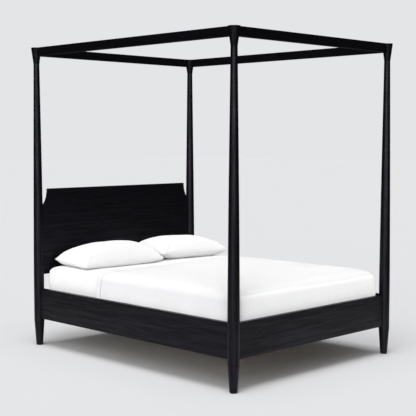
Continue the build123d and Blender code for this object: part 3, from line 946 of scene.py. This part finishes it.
@dataclass
class Mattress:
    """The mattress in its ticking, and the fitted sheet that is stretched over it."""

    core_inset: float = 0.004
    rounding: tuple[float, float] = (0.055, 0.040)
    bulge: float = 0.009
    under: float = 0.16
    sheet: Cotton = Cotton("fitted_sheet", (0.82, 0.82, 0.825), thread=0.0005, nap=0.00007, crumple=0.0006)

    def block(self) -> tuple[Block, float, float]:
        """The block that the sheet is wrapped round, with its lowest and highest heights."""
        low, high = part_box("mattress")
        return Block(high.x, low.y, high.y - 0.004, 0.06), low.z, high.z

    def core(self) -> None:
        """Make the mattress itself in its quilted ticking."""
        block, base, top = self.block()
        inner = Block(
            block.half_width - self.core_inset,
            block.foot + self.core_inset,
            block.head - self.core_inset,
            block.corner,
        )
        section = Section.over(
            base + 0.003, top - self.core_inset, self.rounding, inner.half_width, inner.half_width, 0.022
        )
        points, outward = inner.wrap(section)
        swell = self.swell(points, base, top)
        points = points + outward * swell[..., None]
        rows, columns = points.shape[:2]
        faces = grid_faces(rows, columns, ring=True)
        piece = surface("mattress_core", points.reshape(-1, 3), faces, Ticking().material())
        weld(piece)
        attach(piece, "bedding")
        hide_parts("mattress")

    def swell(self, points: np.ndarray, base: float, top: float) -> np.ndarray:
        """How far the sides stand out, most at half of the height."""
        share = np.clip((points[..., 2] - base) / (top - base), 0.0, 1.0)
        return self.bulge * np.sin(np.pi * share) ** 1.5

    def fitted_sheet(self) -> None:
        """Make the fitted sheet, which is stretched over the top and gathered under the mattress."""
        block, base, top = self.block()
        section = Section.over(base + 0.0008, top, self.rounding, block.half_width, self.under, 0.022)
        points, outward = block.wrap(section)
        x, y, z = points[..., 0], points[..., 1], points[..., 2]
        side = 1.0 - ease(np.abs(outward[..., 2]), 0.2, 0.9)
        corner = ease(np.abs(x), block.half_width - 0.22, block.half_width) * ease(
            np.abs(y - (block.foot + block.head) / 2), 0.78, 1.0
        )
        pulls = Waves(11, 0.05, 0.16, (1.0, 1.0, 0.12)).at(points) * ease(top - z, 0.02, 0.20)
        soft = Waves(12, 0.25, 0.7).at(points)
        radial = Waves(13, 0.05, 0.14, (1.0, 1.0, 0.35)).creases(points, 0.22)
        move = self.swell(points, base, top) + side * (0.0007 + (0.0016 + 0.0028 * corner) * pulls)
        move += (1.0 - side) * 0.0013 * soft * (outward[..., 2] > 0)
        move += 0.0022 * corner * radial * (outward[..., 2] > -0.2)
        places = np.arange(points.shape[1])
        gather = np.sin(places * 1.9) + 0.6 * np.sin(places * 1.13 + 1.0)
        beneath = (outward[..., 2] < -0.5) * ease(section.inward[:, None], 0.04, self.under)
        points = points + outward * move[..., None]
        points[..., 2] += beneath * 0.0012 * (gather + 1.6)[None, :]
        points[..., 2] = np.maximum(points[..., 2], base + 0.0004)
        rows, columns = points.shape[:2]
        piece = surface(
            "fitted_sheet", points.reshape(-1, 3), grid_faces(rows, columns, ring=True), self.sheet.material()
        )
        weld(piece)
        solidify(piece, 0.0009)
        cloth = piece.data.materials[0]
        band = tube("sheet_elastic", points[0] + np.array([0, 0, 0.0012]), 0.0014, cloth, True)
        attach(piece, "bedding")
        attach(band, "bedding")

    def build(self) -> None:
        """Make the mattress and its sheet."""
        self.core()
        self.fitted_sheet()


@dataclass
class Coverlet:
    """The padded coverlet over the foot two thirds of the bed, tucked down round the mattress."""

    thickness: float = 0.011
    rounding: tuple[float, float] = (0.085, 0.060)
    loft: float = 0.008
    crown: float = 0.010
    hem: float = 0.030
    cloth: Cotton = Cotton("coverlet_cloth", (0.76, 0.76, 0.767), thread=0.0009, nap=0.00018, crumple=0.0016)

    def build(self) -> None:
        """Make the coverlet."""
        low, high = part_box("coverlet")
        bed_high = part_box("mattress")[1]
        top = bed_high.z + self.loft + self.thickness
        block = Block(high.x + 0.004, low.y + 0.011, high.y, 0.075, open_head=True)
        section = Section.over(low.z + 0.002, top, self.rounding, block.half_width, 0.0, 0.02)
        points, outward = block.wrap(section)
        x, y, z = points[..., 0], points[..., 1], points[..., 2]
        side = 1.0 - ease(outward[..., 2], 0.1, 0.95)
        fall = np.clip((top - z) / (top - low.z), 0.0, 1.0)
        foot_face = side * ease(-outward[..., 1], 0.3, 1.0)
        long_side = side * ease(np.abs(outward[..., 0]), 0.3, 1.0)
        folds = Waves(21, 0.07, 0.24, (1.0, 1.0, 0.10)).at(points)
        near_corner = ease(x, 0.42, 0.70) + 0.55 * ease(-x, 0.45, 0.70)
        pleats = Waves(22, 0.035, 0.09, (1.0, 1.0, 0.08)).at(points)
        ripple = side * fall * (0.0044 * folds + 0.0105 * foot_face * near_corner * pleats)
        tuck = 0.016 * long_side * np.sin(np.pi * np.clip(fall * 0.62, 0, 1)) ** 2 * ease(fall, 0.1, 0.9)
        across = 1 - (x / block.half_width) ** 4
        crown = self.crown * (1 - side) * across * ease(y, block.foot, block.foot + 0.5)
        lie = ease(y, block.head - 0.30, block.head)
        crown *= 1.0 - lie
        broad = (1 - side) * (0.0030 * (1.0 - 0.7 * lie) * Waves(23, 0.30, 0.95).at(points) - 0.0055 * lie)
        patches = ease(Waves(25, 0.4, 1.0).at(points), 0.1, 0.9)
        creases = (1 - side) * 0.0012 * Waves(24, 0.22, 0.6).creases(points, 0.10) * patches
        edge = block.head - y
        groove = np.exp(-(((edge - self.hem) / 0.0085) ** 2))
        seam = 0.0050 * groove - 0.0007 * ease(self.hem - edge, 0.0, 0.01)
        lip = 0.0020 * ease(0.006 - edge, 0.0, 0.006)
        move = ripple + tuck + crown + broad + creases - seam - lip
        points = points + outward * move[..., None]
        points[..., 1] += 0.0022 * np.sin(7.0 * x) * ease(y, block.head - 0.05, block.head)
        rows, columns = points.shape[:2]
        # The hem's stitching is a sunk line with painted shade along it.
        finish = replace(self.cloth, stitches=((1, block.head - self.hem, 0.006),)).material()
        piece = surface("coverlet_cover", points.reshape(-1, 3), grid_faces(rows, columns), finish)
        weld(piece)
        solidify(piece, self.thickness)
        edge_line = np.vstack([points[:, 0], points[::-1, -1]])
        facing = np.vstack([outward[:, 0], outward[::-1, -1]])
        binding = tube(
            "coverlet_binding",
            edge_line + 0.0015 * facing,
            self.thickness * 0.60,
            finish,
            closed=False,
            sides=12,
        )
        for made in (piece, binding):
            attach(made, "bedding")
        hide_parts("coverlet")


@dataclass(frozen=True)
class Pillow:
    """One pillow: two panels sewn together round the edge, then filled.

    Attributes:
        node: The CAD node that it stands for.
        body: The body that it rides on.
        middle: Plan position of its middle.
        turn: Turn in plan, in degrees.
        seam: Heights of the seam at the back left, front left, front right and back right corners.
        half_length: Half of the length of a panel.
        half_depth: Half of the depth of a panel.
        crown: Height of the upper side over the seam.
        belly: Depth of the lower side under the seam.
        plump: Half of the thickness before the filling pushes the cloth out.
        most: How far the filling may move a point of the cloth.
        seed: Seed of its creases.
    """

    node: str
    body: str
    middle: tuple[float, float]
    turn: float
    seam: tuple[float, float, float, float]
    half_length: float = 0.402
    half_depth: float = 0.232
    crown: float = 0.122
    belly: float = 0.075
    plump: float = 0.088
    most: float = 0.012
    seed: int = 31

    def panels(self, columns: int = 92, rows: int = 54) -> tuple[np.ndarray, np.ndarray, np.ndarray]:
        """The two panels before they are filled.

        Each panel is a grid that stands up from the seam like a shallow lens. The lower
        panel shares the points of the upper one round the seam.

        Args:
            columns: Points along the pillow.
            rows: Points across it.

        Returns:
            The points, the faces, and the indices of the points round the seam in order.
        """
        spread = np.sin(np.linspace(-1, 1, columns) * np.pi / 2 * 0.86) / math.sin(np.pi / 2 * 0.86)
        depth = np.sin(np.linspace(-1, 1, rows) * np.pi / 2 * 0.86) / math.sin(np.pi / 2 * 0.86)
        u, v = np.meshgrid(spread, depth)
        ear = 0.045
        round_u = u * (1 - 0.5 * ear * ((u * v) ** 8))
        round_v = v * (1 - ear * ((u * v) ** 8))
        x = self.half_length * round_u * (1 - 0.030 * (1 - v**2))
        y = self.half_depth * round_v * (1 - 0.045 * (1 - u**2))
        lens = np.clip(1 - np.abs(u) ** 2.4, 0, 1) ** 0.5 * np.clip(1 - v**2, 0, 1) ** 0.5
        upper = np.stack([x, y, self.plump * lens], -1)
        index = np.arange(rows * columns).reshape(rows, columns)
        inside = np.zeros((rows, columns), bool)
        inside[1:-1, 1:-1] = True
        lower_index = index.copy()
        lower_index[inside] = rows * columns + np.arange(inside.sum())
        points = np.vstack([upper.reshape(-1, 3), (upper * np.array([1, 1, -1]))[inside]])
        flat = grid_faces(rows, columns)
        faces = np.vstack([flat, lower_index.ravel()[flat][:, ::-1]])
        seam = np.concatenate([index[0, :-1], index[:-1, -1], index[-1, :0:-1], index[:0:-1, 0]])
        return points, faces, seam

    def fill(self, piece: bpy.types.Object) -> None:
        """Blow the panels up as cloth, then keep the shape that they take."""
        cloth = piece.modifiers.new("filling", "CLOTH")
        settings = cloth.settings
        settings.quality = 6
        settings.mass = 0.25
        settings.tension_stiffness = 22.0
        settings.compression_stiffness = 22.0
        settings.shear_stiffness = 8.0
        settings.bending_stiffness = 0.35
        settings.air_damping = 3.0
        settings.use_pressure = True
        settings.uniform_pressure_force = 5.0
        settings.effector_weights.gravity = 0.0
        cloth.point_cache.frame_start = 1
        cloth.point_cache.frame_end = 22
        scene = bpy.context.scene
        for frame_number in range(1, 23):
            scene.frame_set(frame_number)
        shaped = piece.evaluated_get(bpy.context.evaluated_depsgraph_get())
        count = len(piece.data.vertices)
        filled, start = np.empty(count * 3, np.float32), np.empty(count * 3, np.float32)
        shaped.data.vertices.foreach_get("co", filled)
        piece.data.vertices.foreach_get("co", start)
        piece.modifiers.remove(cloth)
        scene.frame_set(1)
        move = (filled - start).reshape(-1, 3)
        far = np.linalg.norm(move, axis=1, keepdims=True)
        move *= self.most * np.tanh(far / self.most) / np.maximum(far, 1e-9)
        piece.data.vertices.foreach_set("co", (start.reshape(-1, 3) + move).ravel())
        piece.data.update()

    def settle(self, points: np.ndarray, floor: float) -> np.ndarray:
        """Put the filled pillow in its place and press it down on the sheet.

        Args:
            points: The filled shape about its own middle.
            floor: Height of the sheet.

        Returns:
            The points where they lie.
        """
        u, v = points[:, 0] / self.half_length, points[:, 1] / self.half_depth
        z = points[:, 2]
        lift = z / np.where(z > 0, z.max(), -z.min())
        back_left, front_left, front_right, back_right = self.seam
        s, t = np.clip((u + 1) / 2, 0, 1), np.clip((v + 1) / 2, 0, 1)
        front, back = (1 - s) * front_left + s * front_right, (1 - s) * back_left + s * back_right
        plane = (1 - t) * front + t * back
        height = plane + np.where(z > 0, self.crown, self.belly) * lift
        creases = Waves(self.seed, 0.06, 0.2).creases(points, 0.16) * ease(np.abs(u), 0.45, 0.95)
        soft = Waves(self.seed + 1, 0.12, 0.4).at(points)
        height += 0.0020 * soft * np.sign(z) + 0.0016 * creases * (z > 0)
        over = height - floor - 0.0012
        height = floor + 0.0012 + 0.5 * (over + np.sqrt(over**2 + 0.010**2)) - 0.0042 * (over < 0.03)
        height = np.maximum(height, floor + 0.0008)
        angle = math.radians(self.turn)
        x = self.middle[0] + points[:, 0] * math.cos(angle) - points[:, 1] * math.sin(angle)
        y = self.middle[1] + points[:, 0] * math.sin(angle) + points[:, 1] * math.cos(angle)
        return np.stack([x, y, height], -1)

    def build(self, cloth: bpy.types.Material, floor: float) -> None:
        """Make the pillow and the cord of its seam.

        Args:
            cloth: The pillowcase's finish.
            floor: Height of the sheet that it lies on.
        """
        points, faces, seam = self.panels()
        piece = surface(f"{self.node}_case", points, faces, cloth)
        self.fill(piece)
        points = np.empty(len(points) * 3, np.float32)
        piece.data.vertices.foreach_get("co", points)
        points = points.reshape(-1, 3).astype(float)
        log.info("%s filled to %s", self.node, np.ptp(points, axis=0).round(3).tolist())
        placed = self.settle(points, floor)
        piece.data.vertices.foreach_set("co", placed.astype(np.float32).ravel())
        piece.data.update()
        smooth = piece.modifiers.new("smooth", "SUBSURF")
        smooth.levels = smooth.render_levels = 1
        edge = tube(f"{self.node}_seam", placed[seam], 0.0016, cloth, closed=True)
        for made in (piece, edge):
            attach(made, self.body)
        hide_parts(self.node)


@dataclass
class Bedding:
    """Mattress, fitted sheet, coverlet and the two pillows."""

    pillows: tuple[Pillow, ...] = (
        Pillow(
            "pillow_left",
            "left_pillow",
            middle=(-0.308, 0.785),
            turn=-2.0,
            seam=(0.656, 0.632, 0.638, 0.668),
            half_length=0.401,
            half_depth=0.219,
            crown=0.134,
        ),
        Pillow(
            "pillow_right",
            "right_pillow",
            middle=(0.458, 0.782),
            turn=-5.0,
            seam=(0.694, 0.662, 0.650, 0.648),
            half_length=0.364,
            half_depth=0.216,
            crown=0.118,
            seed=41,
        ),
    )
    case: Cotton = Cotton("pillow_cloth", (0.80, 0.80, 0.805), thread=0.0005, nap=0.00007, crumple=0.0010)

    def build(self) -> None:
        """Make all of the bedding."""
        Mattress().build()
        Coverlet().build()
        cloth = self.case.material()
        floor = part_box("mattress")[1].z + 0.001
        for pillow in self.pillows:
            pillow.build(cloth, floor)


def main() -> None:
    """Build the scene in order and report each piece."""
    logging.basicConfig(level=logging.INFO, format="%(name)s: %(message)s")
    Studio().build()
    TimberFrame().build()
    Hardware().build()
    Bedding().build()


if __name__ == "__main__":
    main()
